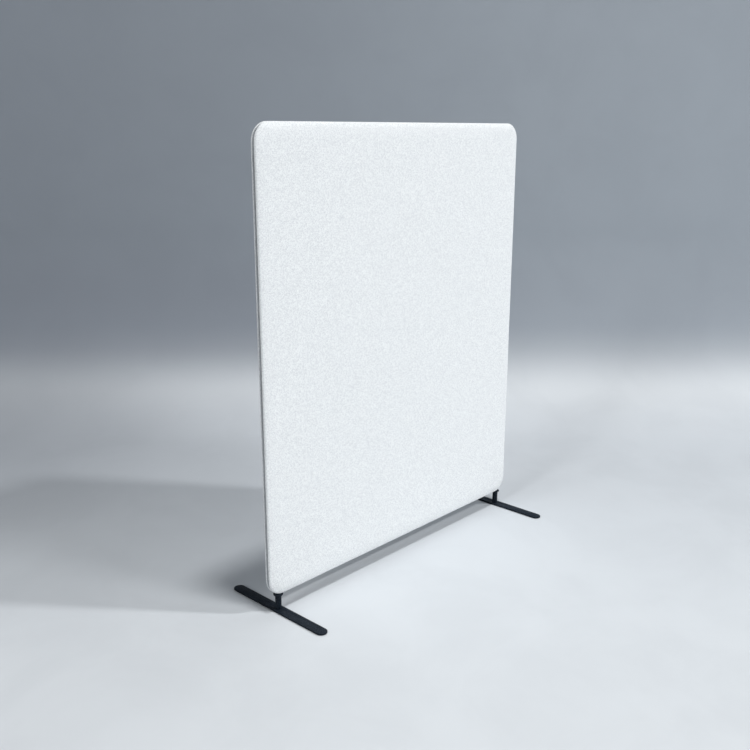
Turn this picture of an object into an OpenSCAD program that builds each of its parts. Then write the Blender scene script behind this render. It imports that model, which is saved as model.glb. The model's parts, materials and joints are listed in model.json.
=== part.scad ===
/* [Panel] */
// Width of the upholstered panel
panel_w = 1200; // [700:10:1800]
// Height of the upholstered panel
panel_h = 1384; // [900:1:1800]
// Thickness of the panel over both covers
panel_t = 30; // [29:1:50]
// Radius of the panel's corners
corner_r = 54.5; // [46:0.5:90]
// Clear height between the floor and the panel
floor_gap = 56; // [50:1:62]

/* [Upholstery] */
// Thickness of the felted fabric of the covers
cover_t = 1.2; // [0.8:0.1:1.6]
// Thickness of the wadding under each cover
wadding_t = 3; // [1:0.5:4]
// Width of the margin over which the face rounds off to the edge
crown_w = 20; // [16:1:30]
// Radius of the soft roll where a cover turns in to the zip
lip_r = 2.2; // [1.8:0.1:3]

/* [Timber frame] */
// Width of the rails and stiles
rail_w = 60; // [50:1:80]
// Length of each arm of a corner block
block_arm = 120; // [105:1:160]
// Diameter of the dowels
dowel_d = 8; // [6:1:10]
// Length of the dowels
dowel_len = 50; // [30:1:60]
// Distance between the two dowels of a joint
dowel_gap = 28; // [20:1:32]

/* [Zip] */
// Width of one row of the zip's coil
row_w = 2.1; // [1.8:0.1:2.3]
// Thickness of the zip's coil
row_t = 2; // [1.6:0.1:2.2]
// Thickness of the zip's tape
tape_t = 0.6; // [0.4:0.1:0.8]
// Depth of the zip's middle below the panel's edge
zip_depth = 5; // [4.6:0.1:5.6]
// Length of the slider
slider_len = 11; // [9:0.5:16]
// Length of the pull below its pivot
pull_len = 24; // [14:1:40]

/* [Feet] */
// Distance from the panel's end to the middle of a foot
foot_inset = 40; // [32:1:90]
// Length of the foot bars
bar_len = 414; // [300:2:600]
// Width of the foot bars
bar_w = 36; // [30:1:60]
// Thickness of the foot bars
bar_t = 5; // [5:0.5:8]
// Thickness of the pads under the bars
pad_t = 1; // [0.8:0.1:3]
// Diameter of the pads
pad_d = 26; // [16:1:28]
// Diameter of the posts
post_d = 19; // [17:0.5:24]
// Diameter of the collars' rims
collar_d = 30; // [26:0.5:40]
// Height of the collars below the panel
collar_h = 9; // [6:0.5:14]
// Thickness of the collars' rims
collar_rim = 2.5; // [1.5:0.5:4]
// Diameter of the foot bolts
bolt_d = 8; // [6:0.5:8]
// Length of the foot bolts
bolt_len = 85; // [76:1:90]

/* [Hidden] */
$fn = 96;
// How far a cut runs past what it cuts
over = 1;
// Both ends of what comes in pairs
SIDES = [-1, 1];

// Clearances: shafts that turn, the slider on the zip, dowels, cores, threads and the spigot
running = 0.2;
slider_gap = 0.3;
dowel_fit = 0.1;
core_fit = 0.5;
thread_fit = 0.1;
spigot_fit = 0.3;
lip_fit = 0.1;

// Frame: the panel less its upholstery
skin = cover_t + wadding_t;
frame_t = panel_t - 2 * skin;
frame_w = panel_w - 2 * skin;
frame_h = panel_h - 2 * skin;
frame_r = corner_r - skin;
bay_w = frame_w - 2 * rail_w;
bay_h = (frame_h - 3 * rail_w) / 2;
bay_y = (rail_w + bay_h) / 2;

// Zip and slider: two wings held apart by a divider, with flanges round the coil
coil_gap = 1.2;
coil_w = 2 * row_w + coil_gap;
flange_wall = 0.7;
wing_t = 0.9;
wing_gap = row_t + 2 * slider_gap;
slider_t = wing_gap + 2 * wing_t;
slider_w = coil_w + 2 * slider_gap + 2 * flange_wall;
slider_chamfer = 1.4;
divider_t = 0.6;
divider_len = 2.5;
stop_len = 3;

// Bridge over the slider, and the pull that swings on a bar under it
bridge_w = 1.6;
bridge_len = 6.4;
bridge_t = 0.6;
bridge_leg = 0.8;
pull_t = 0.9;
pull_w = 5;
pivot_out = slider_t / 2 + running + pull_t / 2;
bridge_out = pivot_out + pull_t / 2 + running;
eye_w = bridge_w + 2 * slider_gap;
eye_h = bridge_len / 2 + 2 * running;
grip_hole = 2.2;

// Groove that the two covers leave for the zip, and the channel behind it in the frame
// The edge's round is a slow crown that crosses a tighter turn, a little short of the tangent radius
groove_w = slider_w + 2 * slider_gap;
edge_r = panel_t / 2 - groove_w / 2 - lip_r;
roll_y = groove_w / 2 + lip_r;
turn_share = 0.74;
turn_least = 0.4;
turn_r = max(turn_share * edge_r, skin + turn_least);
tangent_r = (pow(crown_w - turn_r, 2) + edge_r * edge_r - turn_r * turn_r) / (2 * (edge_r - turn_r));
crown_share = 0.98;
crown_r = crown_share * tangent_r;
lip_end = zip_depth - tape_t / 2;
lips_w = groove_w + 2 * cover_t;
channel_w = lips_w + 2 * lip_fit;
channel_d = zip_depth + slider_t / 2 + slider_gap - skin;

// Places along the panel
corner_x = panel_w / 2 - corner_r;
corner_y = panel_h / 2 - corner_r;
corner_z = floor_gap + corner_r;
foot_x = panel_w / 2 - foot_inset;
seam_lap = 4;
zip_low = corner_z + seam_lap;
zip_run = panel_h - 2 * corner_r - seam_lap;
slider_z = zip_low + stop_len + slider_gap + slider_len / 2;
slider_travel = zip_low + zip_run - slider_gap - slider_len / 2 - slider_z;

// Foot: pads, bar, post and collar stacked from the floor
bar_z = pad_t;
post_z = bar_z + bar_t;
collar_z = floor_gap - collar_h;
bar_break = 0.6;
post_break = 0.5;
head_d = 15;
head_t = 4;
head_sink = 0.3;
head_flat = 0.4;
hex_key = 5;
hex_depth = 2.4;

// Threaded insert, on a flat that is cut square to the bolt in the rounded corner block
// Its flange lies above the seam's tape, and the collar's spigot reaches up to it
insert_d = 12;
insert_len = 20;
insert_spare = 4;
flange_d = 16;
flange_t = 1.5;
spigot_d = 14;
seat_reach = max(0, foot_x + flange_d / 2 + spigot_fit - corner_x);
seam_r = corner_r - zip_depth - tape_t / 2;
spigot_top = corner_z - sqrt(seam_r * seam_r - seat_reach * seat_reach) + lip_fit;
seat_z = spigot_top + flange_t;
wadding_y = max(roll_y, spigot_d / 2 + spigot_fit + lip_fit);

// The panel is drawn lying with its front up and its middle at the origin, and stood up here
module stand_up() {
  translate([0, 0, floor_gap + panel_h / 2]) rotate([90, 0, 0]) children();
}

// An edge profile drawn out along a straight stretch from the origin
module straight_edge(length) {
  rotate([90, 0, 0]) mirror([0, 0, 1]) linear_extrude(length) children();
}

// An edge profile turned a quarter of a circle round a corner's centre
module corner_edge() {
  rotate_extrude(angle = 90) children();
}

// An edge profile taken all round the panel
module all_round() {
  for (turn = [0 : 3]) {
    reach = turn % 2 == 0 ? corner_x : corner_y;
    half = turn % 2 == 0 ? corner_y : corner_x;
    rotate([0, 0, 90 * turn]) {
      translate([reach, -half, 0]) straight_edge(2 * half) children();
      translate([reach, half, 0]) corner_edge() children();
    }
  }
}

// An edge profile taken up one long edge, over the top and down the other, as the zip runs
module zip_round() {
  for (side = [0, 1]) mirror([side, 0, 0]) {
    translate([corner_x, corner_y - zip_run, 0]) straight_edge(zip_run) children();
    translate([corner_x, corner_y, 0]) corner_edge() children();
  }
  rotate([0, 0, 90]) translate([corner_y, -corner_x, 0]) straight_edge(2 * corner_x) children();
}

// An edge profile taken round the rest, below the zip's two ends
module seam_round() {
  for (side = [0, 1]) mirror([side, 0, 0]) {
    translate([corner_x, -corner_y, 0]) straight_edge(seam_lap) children();
    translate([corner_x, -corner_y, 0]) rotate([0, 0, -90]) corner_edge() children();
  }
  rotate([0, 0, -90]) translate([corner_y, -corner_x, 0]) straight_edge(2 * corner_x) children();
}

// Edge of the panel, set in by a depth: a flat side, a tight turn, and a slow crown to the face
// Its x is the distance out from a corner's centre, and its y the height above the middle
module edge_profile(inset, from = 0) {
  crown_at = [0, panel_t / 2 - crown_r];
  turn_at = [crown_w - turn_r, roll_y];
  way = (turn_at - crown_at) / norm(turn_at - crown_at);
  square_to(from, corner_r - crown_w, panel_t / 2 - inset);
  square_to(from, corner_r - inset, roll_y);
  translate([corner_r - crown_w, 0]) intersection() {
    square([crown_w + over, panel_t]);
    translate(crown_at) circle(crown_r - inset);
    union() {
      polygon([[0, 0], [turn_at[0], 0], turn_at, turn_at + (turn_r + over) * way, [0, panel_t]]);
      translate(turn_at) circle(turn_r - inset);
    }
  }
}

module square_to(from, to, height) {
  translate([from, 0]) square([to - from, height]);
}

// A cover's section: the face and round, the soft roll, and the lip that goes in to the tape
module cover_profile() {
  difference() {
    edge_profile(0);
    edge_profile(cover_t);
    translate([-over, -over]) square([corner_r + 2 * over, roll_y + over]);
  }
  translate([corner_r - lip_r, roll_y]) intersection() {
    difference() {
      circle(lip_r);
      circle(lip_r - cover_t);
    }
    translate([0, -lip_r]) square(lip_r);
  }
  translate([corner_r - lip_end, groove_w / 2]) square([lip_end - lip_r, cover_t]);
}

// The wadding lies between the cover's face and round and the frame, and stops short of the spigots
module wadding_profile() {
  difference() {
    edge_profile(cover_t);
    edge_profile(skin);
    translate([-over, -over]) square([corner_r + 2 * over, wadding_y + over]);
  }
}

// Frame section with the zip's channel along its outer side
module frame_profile(from = 0) {
  difference() {
    for (side = [0, 1]) mirror([0, side]) edge_profile(skin, from);
    translate([frame_r - channel_d, -channel_w / 2]) square([channel_d + over, channel_w]);
  }
}

// A flat strip across the channel, from one place across it to another
module strip_profile(from, to, thickness) {
  translate([corner_r - zip_depth - thickness / 2, from]) square([thickness, to - from]);
}

// A skin over the whole face: the profile round the edge and a flat sheet within it
module skin_over(inset, thickness) {
  all_round() children();
  translate([-corner_x, -corner_y, panel_t / 2 - inset - thickness])
    cube([2 * corner_x, 2 * corner_y, thickness]);
}

// What goes at each foot
module at_feet() {
  for (side = SIDES) translate([side * foot_x, 0, 0]) children();
}

module spigot_holes() {
  at_feet() translate([0, 0, floor_gap - over])
    cylinder(d = spigot_d + 2 * spigot_fit, h = seat_z - floor_gap + over);
}

// Timber frame
module dowel(fit = 0) {
  cylinder(d = dowel_d + fit, h = dowel_len + fit, center = true);
}

module dowel_pair(fit, along_x) {
  for (side = SIDES)
    if (along_x) translate([0, side * dowel_gap / 2, 0]) rotate([0, 90, 0]) dowel(fit);
    else translate([side * dowel_gap / 2, 0, 0]) rotate([90, 0, 0]) dowel(fit);
}

module dowels(fit = 0) {
  for (x = SIDES) {
    for (y = SIDES) {
      translate([x * (frame_w / 2 - block_arm), y * (frame_h - rail_w) / 2, 0])
        dowel_pair(fit, true);
      translate([x * (frame_w - rail_w) / 2, y * (frame_h / 2 - block_arm), 0])
        dowel_pair(fit, false);
    }
    translate([x * bay_w / 2, 0, 0]) dowel_pair(fit, true);
  }
}

module drilled() {
  difference() {
    children();
    dowels(dowel_fit);
  }
}

// A rail or stile, lying along y on the right of the panel
module edge_rail(reach, length) {
  translate([reach - corner_r, -length / 2, 0])
    straight_edge(length) frame_profile(frame_r - rail_w);
}

module cross_rail(side) {
  color("burlywood") stand_up() drilled()
    rotate([0, 0, 90 * side]) edge_rail(panel_h / 2, frame_w - 2 * block_arm);
}

module stile(side) {
  color("burlywood") stand_up() drilled()
    rotate([0, 0, side > 0 ? 0 : 180]) edge_rail(panel_w / 2, frame_h - 2 * block_arm);
}

module middle_rail() {
  color("burlywood") stand_up() drilled()
    cube([bay_w, rail_w, frame_t], center = true);
}

// An L-shaped corner block whose outer corner follows the panel's
module corner_block(side, up) {
  arm = block_arm - frame_r;
  color("tan") difference() {
    stand_up() drilled() scale([side, up, 1]) translate([corner_x, corner_y, 0]) {
      corner_edge() frame_profile();
      translate([0, -arm, 0]) straight_edge(arm) frame_profile(frame_r - rail_w);
      mirror([1, -1, 0]) translate([0, -arm, 0])
        straight_edge(arm) frame_profile(frame_r - rail_w);
    }
    if (up < 0) translate([side * foot_x, 0, 0]) insert_seat();
  }
}

// Flat and bore for the threaded insert
module insert_seat() {
  translate([0, 0, floor_gap]) cylinder(d = flange_d + 2 * spigot_fit, h = seat_z - floor_gap);
  translate([0, 0, floor_gap]) cylinder(d = insert_d, h = seat_z + insert_len + insert_spare - floor_gap);
}

module frame_dowels() {
  color("peru") stand_up() dowels();
}

// Filling and upholstery
module core(side) {
  color("lightslategray") stand_up() translate([0, side * bay_y, 0])
    cube([bay_w - 2 * core_fit, bay_h - 2 * core_fit, frame_t], center = true);
}

module wadding(back) {
  color("whitesmoke")
    stand_up() mirror([0, 0, back]) skin_over(cover_t, wadding_t) wadding_profile();
}

module cover(back) {
  color("aliceblue") difference() {
    stand_up() mirror([0, 0, back]) skin_over(0, cover_t) cover_profile();
    spigot_holes();
  }
}

module bottom_seam() {
  color("lightgray") difference() {
    stand_up() seam_round() strip_profile(-lips_w / 2, lips_w / 2, tape_t);
    spigot_holes();
  }
}

// Zip
module zip_tape(back) {
  color("slategray") stand_up() mirror([0, 0, back])
    zip_round() strip_profile(coil_w / 2, lips_w / 2, tape_t);
}

module zip_coil(back) {
  color("dimgray") stand_up() mirror([0, 0, back]) zip_coil_run();
}

module zip_coil_run() {
  difference() {
    zip_round() strip_profile(coil_gap / 2, coil_w / 2, row_t);
    translate([-panel_w, -corner_y, -panel_t]) cube([2 * panel_w, seam_lap + stop_len, 2 * panel_t]);
  }
}

module zip_end_stops() {
  color("gray") for (side = SIDES)
    translate([side * (panel_w / 2 - zip_depth), 0, zip_low + stop_len / 2])
      cube([row_t, coil_w, stop_len], center = true);
}

module at_slider() {
  translate([panel_w / 2 - zip_depth, 0, slider_z]) children();
}

// Outline of the slider's wings, seen from outside
module wing_outline() {
  half_w = slider_w / 2;
  half_l = slider_len / 2;
  polygon([
    [half_w, -half_l + slider_chamfer], [half_w, half_l - slider_chamfer],
    [half_w - slider_chamfer, half_l], [-half_w + slider_chamfer, half_l],
    [-half_w, half_l - slider_chamfer], [-half_w, -half_l + slider_chamfer],
    [-half_w + slider_chamfer / 2, -half_l], [half_w - slider_chamfer / 2, -half_l],
  ]);
}

module zip_slider() {
  color("silver") at_slider() {
    difference() {
      rotate([90, 0, 90]) linear_extrude(slider_t, center = true) wing_outline();
      cube([wing_gap, coil_w + 2 * slider_gap, slider_len + over], center = true);
      cube([tape_t + 2 * slider_gap, slider_w + over, slider_len + over], center = true);
    }
    translate([0, 0, (divider_len - slider_len) / 2])
      cube([wing_gap + wing_t, divider_t, divider_len], center = true);
    bridge();
  }
}

// Bridge along the slider, open below for the pull's bar
module bridge() {
  root = slider_t / 2 - wing_t / 2;
  difference() {
    translate([root, -bridge_w / 2, -bridge_len / 2])
      cube([bridge_out + bridge_t - root, bridge_w, bridge_len]);
    translate([slider_t / 2, -bridge_w, bridge_leg - bridge_len / 2])
      cube([bridge_out - slider_t / 2, 2 * bridge_w, bridge_len - 2 * bridge_leg]);
  }
}

// Pull: a plate with an eye, whose upper side is the round bar that it swings on
module zip_pull() {
  color("silver") at_slider() translate([pivot_out, 0, 0]) {
    rotate([90, 0, 0]) cylinder(d = pull_t, h = pull_w, center = true);
    difference() {
      translate([-pull_t / 2, -pull_w / 2, -pull_len]) cube([pull_t, pull_w, pull_len]);
      translate([-pull_t, -eye_w / 2, -eye_h]) cube([2 * pull_t, eye_w, eye_h - pull_t / 2]);
      translate([0, 0, -pull_len + pull_w / 2]) rotate([0, 90, 0])
        cylinder(d = grip_hole, h = 2 * pull_t, center = true);
      translate([-pull_t, -eye_w / 2, -pull_t / 2]) cube([2 * pull_t, eye_w, pull_t]);
    }
  }
}

// Fixings of the feet
module insert(side) {
  color("goldenrod") translate([side * foot_x, 0, seat_z]) difference() {
    union() {
      translate([0, 0, -flange_t]) cylinder(d = flange_d, h = flange_t);
      cylinder(d = insert_d, h = insert_len);
    }
    translate([0, 0, -flange_t - over])
      cylinder(d = bolt_d + thread_fit, h = insert_len + flange_t + 2 * over);
  }
}

module bolt(side) {
  color("dimgray") translate([side * foot_x, 0, bar_z + head_sink]) difference() {
    union() {
      cylinder(d = head_d, h = head_flat);
      translate([0, 0, head_flat]) cylinder(d1 = head_d, d2 = bolt_d, h = head_t - head_flat);
      cylinder(d = bolt_d, h = bolt_len);
    }
    translate([0, 0, -over]) cylinder(d = hex_key / cos(30), h = hex_depth + over, $fn = 6);
  }
}

// Collar: a spigot through the covers to the insert, a thin rim, and a flare down to the post
module collar(side) {
  color("black") translate([side * foot_x, 0, 0]) rotate_extrude() polygon([
    [bolt_d / 2 + running, collar_z], [post_d / 2, collar_z],
    [collar_d / 2, floor_gap - collar_rim], [collar_d / 2, floor_gap],
    [spigot_d / 2, floor_gap], [spigot_d / 2, spigot_top],
    [bolt_d / 2 + running, spigot_top],
  ]);
}

module post(side) {
  color("black") translate([side * foot_x, 0, 0]) rotate_extrude() polygon([
    [bolt_d / 2 + running, post_z], [post_d / 2 - post_break, post_z],
    [post_d / 2, post_z + post_break], [post_d / 2, collar_z - post_break],
    [post_d / 2 - post_break, collar_z], [bolt_d / 2 + running, collar_z],
  ]);
}

// Foot bar: a flat with round ends and broken edges, countersunk from below
module bar_half_section() {
  half = bar_w / 2;
  polygon([
    [0, 0], [half - bar_break, 0], [half, bar_break],
    [half, bar_t - bar_break], [half - bar_break, bar_t], [0, bar_t],
  ]);
}

module foot_bar(side) {
  run = bar_len - bar_w;
  color("black") translate([side * foot_x, 0, bar_z]) difference() {
    union() {
      for (end = SIDES) translate([0, end * run / 2, 0]) rotate_extrude() bar_half_section();
      for (half = [0, 1]) mirror([half, 0, 0]) translate([0, run / 2, 0])
        rotate([90, 0, 0]) linear_extrude(run) bar_half_section();
    }
    bolt_bore();
  }
}

module bolt_bore() {
  translate([0, 0, -over]) cylinder(d = bolt_d + 2 * running, h = bar_t + 2 * over);
  translate([0, 0, -over]) cylinder(d = head_d + 2 * running, h = over + head_sink + head_flat);
  translate([0, 0, head_sink + head_flat])
    cylinder(d1 = head_d + 2 * running, d2 = bolt_d + 2 * running, h = head_t - head_flat);
}

module foot_pads(side) {
  color("darkslategray") for (end = SIDES)
    translate([side * foot_x, end * (bar_len - bar_w) / 2, 0]) cylinder(d = pad_d, h = pad_t);
}

cross_rail(1);  // top_rail
cross_rail(-1);  // bottom_rail
stile(-1);  // left_stile
stile(1);  // right_stile
middle_rail();
corner_block(-1, 1);  // top_left_block
corner_block(1, 1);  // top_right_block
corner_block(-1, -1);  // bottom_left_block
corner_block(1, -1);  // bottom_right_block
frame_dowels();
core(1);  // upper_core
core(-1);  // lower_core
wadding(0);  // front_wadding
wadding(1);  // back_wadding
cover(0);  // front_cover
cover(1);  // back_cover
bottom_seam();
zip_tape(0);  // front_zip_tape
zip_tape(1);  // back_zip_tape
zip_coil(0);  // front_zip_coil
zip_coil(1);  // back_zip_coil
zip_end_stops();
zip_slider();
zip_pull();
insert(-1);  // left_insert
insert(1);  // right_insert
bolt(-1);  // left_bolt
bolt(1);  // right_bolt
collar(-1);  // left_collar
collar(1);  // right_collar
post(-1);  // left_post
post(1);  // right_post
foot_bar(-1);  // left_foot_bar
foot_bar(1);  // right_foot_bar
foot_pads(-1);  // left_foot_pads
foot_pads(1);  // right_foot_pads
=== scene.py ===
"""Acoustic divider screen: its fabric, zip, timber and coated feet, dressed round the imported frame."""

import json
import logging
import math
from dataclasses import dataclass, field
from enum import Enum

import bmesh
import bpy
from bmesh.types import BMesh, BMVert
from bpy.types import Node, NodeSocket
from mathutils import Matrix, Vector, noise

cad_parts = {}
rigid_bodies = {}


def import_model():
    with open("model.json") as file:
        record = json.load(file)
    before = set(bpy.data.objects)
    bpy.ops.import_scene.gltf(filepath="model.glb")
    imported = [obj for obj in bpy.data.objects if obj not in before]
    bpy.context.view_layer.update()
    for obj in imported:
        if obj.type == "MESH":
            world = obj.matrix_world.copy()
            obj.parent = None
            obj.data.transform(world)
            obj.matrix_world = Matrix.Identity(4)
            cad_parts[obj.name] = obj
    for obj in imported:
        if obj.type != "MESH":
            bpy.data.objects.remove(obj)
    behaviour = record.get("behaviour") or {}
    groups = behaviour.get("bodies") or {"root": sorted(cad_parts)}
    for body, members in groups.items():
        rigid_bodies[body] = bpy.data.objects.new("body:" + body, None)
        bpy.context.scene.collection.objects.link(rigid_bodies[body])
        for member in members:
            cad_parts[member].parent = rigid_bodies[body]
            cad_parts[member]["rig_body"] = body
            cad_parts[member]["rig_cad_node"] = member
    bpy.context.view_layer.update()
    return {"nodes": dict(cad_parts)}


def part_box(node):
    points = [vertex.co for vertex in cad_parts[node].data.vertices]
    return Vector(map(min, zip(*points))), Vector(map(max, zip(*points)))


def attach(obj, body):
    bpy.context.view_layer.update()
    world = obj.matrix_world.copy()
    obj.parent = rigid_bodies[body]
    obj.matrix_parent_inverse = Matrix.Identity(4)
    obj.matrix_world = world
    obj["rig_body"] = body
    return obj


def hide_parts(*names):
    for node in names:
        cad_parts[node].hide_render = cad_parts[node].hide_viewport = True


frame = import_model()
LOG = logging.getLogger("divider_screen")
Colour = tuple[float, float, float]
Triple = tuple[float, float, float]
Sockets = dict[str, NodeSocket]
Piece = bpy.types.Object
UP = Vector((0.0, 0.0, 1.0))
RIGHT = Vector((1.0, 0.0, 0.0))
DEPTH_AXIS = (0, 1, 0)

# UV map that follows the panel's edge, and the length of a tape's faces along it.
EDGE_MAP = "run"
TAPE_STEP = 0.01

# Width of one band of a wave texture whose scale is 1.
WAVE_UNIT = math.tau / 20

# Angles in degrees: below the first, faces count as one; above the second, an edge is hard; below
# the others, an edge is shaded smooth, on solid parts, on small round shapes and slabs, on sheets.
FLAT_ANGLE = 1.0
HARD_ANGLE = 25.0
PART_SMOOTH = 40.0
ROUND_SMOOTH = 50.0
SHEET_SMOOTH = 60.0

# Distance in metres within which two points are one, and the same where a grid meets a rim.
SAME_POINT = 1e-6
RIM_POINT = 2e-5


class Sign(Enum):
    """A way out from the panel's middle, as a sign along one axis."""

    @property
    def word(self) -> str:
        """The way's name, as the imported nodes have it."""
        return self.name.lower()


class Side(Sign):
    """Side of the panel, as the sign of its outward direction along Y."""

    FRONT = -1
    BACK = 1


class Hand(Sign):
    """End of the panel, as the sign of its direction along X."""

    LEFT = -1
    RIGHT = 1


class Tour(Enum):
    """Stretch of the panel's edge that a section is swept along."""

    WHOLE = "whole"
    ZIP = "zip"
    SEAM = "seam"


class Grain(Enum):
    """Direction of the timber's grain, as the turn about Y that lays it along X."""

    ACROSS = 0.0
    UPRIGHT = math.pi / 2


@dataclass(frozen=True)
class PanelSizes:
    """Sizes of the upholstered panel in metres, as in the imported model."""

    width: float = 1.2
    height: float = 1.384
    thickness: float = 0.03
    corner: float = 0.0545
    gap: float = 0.056
    cover: float = 0.0012
    wadding: float = 0.003
    roll: float = 0.0022
    crown: float = 0.02
    turn_share: float = 0.74
    groove: float = 0.008
    zip_depth: float = 0.005
    tape: float = 0.0006
    seam_lap: float = 0.004
    foot_inset: float = 0.04
    spigot: float = 0.0146

    @property
    def edge(self) -> float:
        """Depth of the round between the face and the soft roll."""
        return self.thickness / 2 - self.groove / 2 - self.roll

    @property
    def turn(self) -> float:
        """Radius of the tighter turn at the end of the round."""
        return self.turn_share * self.edge

    @property
    def crown_radius(self) -> float:
        """Radius of the slow crown that rounds the face's margin off to the turn."""
        run = self.crown - self.turn
        return (run ** 2 + self.edge ** 2 - self.turn ** 2) / (2 * (self.edge - self.turn))

    @property
    def crown_angle(self) -> float:
        """Angle in degrees at which the crown runs into the turn."""
        return math.degrees(math.asin((self.crown - self.turn) / (self.crown_radius - self.turn)))

    @property
    def roll_y(self) -> float:
        """Distance of the soft roll's middle from the panel's mid-thickness."""
        return self.groove / 2 + self.roll

    @property
    def lip_depth(self) -> float:
        """Depth of the lip's end below the panel's edge."""
        return self.zip_depth - self.tape / 2

    @property
    def lips(self) -> float:
        """Width over both lips, which is the width of what is sewn to them."""
        return self.groove + 2 * self.cover

    @property
    def around(self) -> float:
        """How much further than the panel's outline a cover's felt goes on each side.

        Returns:
            The length of the crown, the turn, the roll and the lip, less the width under them.
        """
        round_off = math.radians(self.crown_angle) * self.crown_radius - self.crown
        round_off += math.radians(90.0 - self.crown_angle) * self.turn
        return round_off + self.roll * (math.pi / 2 - 1) + self.lip_depth

    @property
    def corner_x(self) -> float:
        """Distance of the corners' centres from the panel's middle."""
        return self.width / 2 - self.corner

    @property
    def low(self) -> float:
        """Height of the lower corners' centres."""
        return self.gap + self.corner

    @property
    def high(self) -> float:
        """Height of the upper corners' centres."""
        return self.gap + self.height - self.corner

    @property
    def zip_low(self) -> float:
        """Height of the zip's two ends."""
        return self.low + self.seam_lap

    @property
    def foot_x(self) -> float:
        """Distance of the feet from the panel's middle."""
        return self.width / 2 - self.foot_inset


PANEL = PanelSizes()


class Nodes:
    """Draws one node tree: a material's, the world's, or a shader group's."""

    def __init__(self, tree: bpy.types.NodeTree) -> None:
        """Starts with an empty tree.

        Args:
            tree: The tree to fill.
        """
        self.tree = tree
        tree.nodes.clear()

    def add(self, kind: str, **facts: object) -> Node:
        """Adds a node and sets its properties.

        Args:
            kind: The node's type, without its leading ShaderNode.
            facts: Properties of the node by name.

        Returns:
            The new node.
        """
        node = self.tree.nodes.new("ShaderNode" + kind)
        for name, value in facts.items():
            setattr(node, name, value)
        return node

    def put(self, socket: NodeSocket, value: object) -> None:
        """Links or sets one input.

        Args:
            socket: The input.
            value: A socket or a plain value. A colour gets its alpha here.
        """
        if isinstance(value, NodeSocket):
            self.tree.links.new(value, socket)
        elif socket.type == "RGBA":
            socket.default_value = (*value, 1.0)
        else:
            socket.default_value = value

    def feed(self, node: Node, *values: object, **inputs: object) -> Node:
        """Links or sets a node's inputs.

        Args:
            node: The node that is fed.
            values: A socket or a plain value for each of its first inputs.
            inputs: The same by the input's name, with _ for each space in it.

        Returns:
            The same node.
        """
        for socket, value in zip(node.inputs, values):
            self.put(socket, value)
        for name, value in inputs.items():
            self.put(node.inputs[name.replace("_", " ")], value)
        return node

    def noise(self, vector: NodeSocket, scale: object, detail: float, roughness: float,
              distortion: float = 0.0) -> NodeSocket:
        """Adds a noise texture.

        Args:
            vector: The place on the piece.
            scale: Grains for each metre, a number or socket.
            detail: Octaves of finer noise.
            roughness: Strength of the finer octaves.
            distortion: How far the grains are bent.

        Returns:
            The noise, about 0.5.
        """
        node = self.feed(self.add("TexNoise"), Vector=vector, Scale=scale, Detail=detail,
                         Roughness=roughness, Distortion=distortion)
        return node.outputs["Fac"]

    def spread(self, value: NodeSocket, low: float, high: float, to_low: float = 0.0,
               to_high: float = 1.0) -> NodeSocket:
        """Spreads a range of a value over another range, softly at both ends.

        Args:
            value: The value to spread.
            low: Where the range starts.
            high: Where the range ends.
            to_low: What the start becomes.
            to_high: What the end becomes.

        Returns:
            The spread value.
        """
        node = self.add("MapRange", interpolation_type="SMOOTHSTEP")
        self.feed(node, Value=value, From_Min=low, From_Max=high, To_Min=to_low, To_Max=to_high)
        return node.outputs["Result"]

    def maths(self, operation: str, *values: object) -> NodeSocket:
        """Adds a Math node for a few sockets or numbers."""
        return self.feed(self.add("Math", operation=operation), *values).outputs[0]

    def times(self, first: object, second: object) -> NodeSocket:
        """Multiplies two sockets or numbers."""
        return self.maths("MULTIPLY", first, second)

    def plus(self, first: object, second: object) -> NodeSocket:
        """Adds two sockets or numbers."""
        return self.maths("ADD", first, second)

    def blend(self, share: object, first: object, second: object) -> NodeSocket:
        """Mixes two colours.

        Args:
            share: Share of the second colour, a socket or number.
            first: A socket or colour.
            second: A socket or colour.

        Returns:
            The mixed colour.
        """
        node = self.add("Mix", data_type="RGBA")
        for place, value in ((0, share), (6, first), (7, second)):
            self.put(node.inputs[place], value)
        return node.outputs[2]

    def stretched(self, vector: NodeSocket, scale: Triple) -> NodeSocket:
        """Stretches a pattern's place by a factor for each axis."""
        return self.feed(self.add("Mapping"), Vector=vector, Scale=scale).outputs["Vector"]

    def here(self) -> NodeSocket:
        """The place on the piece, in the object's own coordinates."""
        return self.add("TexCoord").outputs["Object"]

    def facing(self, axis: str) -> NodeSocket:
        """How far the surface faces along an axis, from -1 to 1."""
        normal = self.add("NewGeometry").outputs["Normal"]
        return self.feed(self.add("SeparateXYZ"), Vector=normal).outputs[axis]

    def show(self, surface: NodeSocket, output: str = "OutputMaterial") -> None:
        """Links the finished shader to the tree's output."""
        self.feed(self.add(output), Surface=surface)


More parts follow.
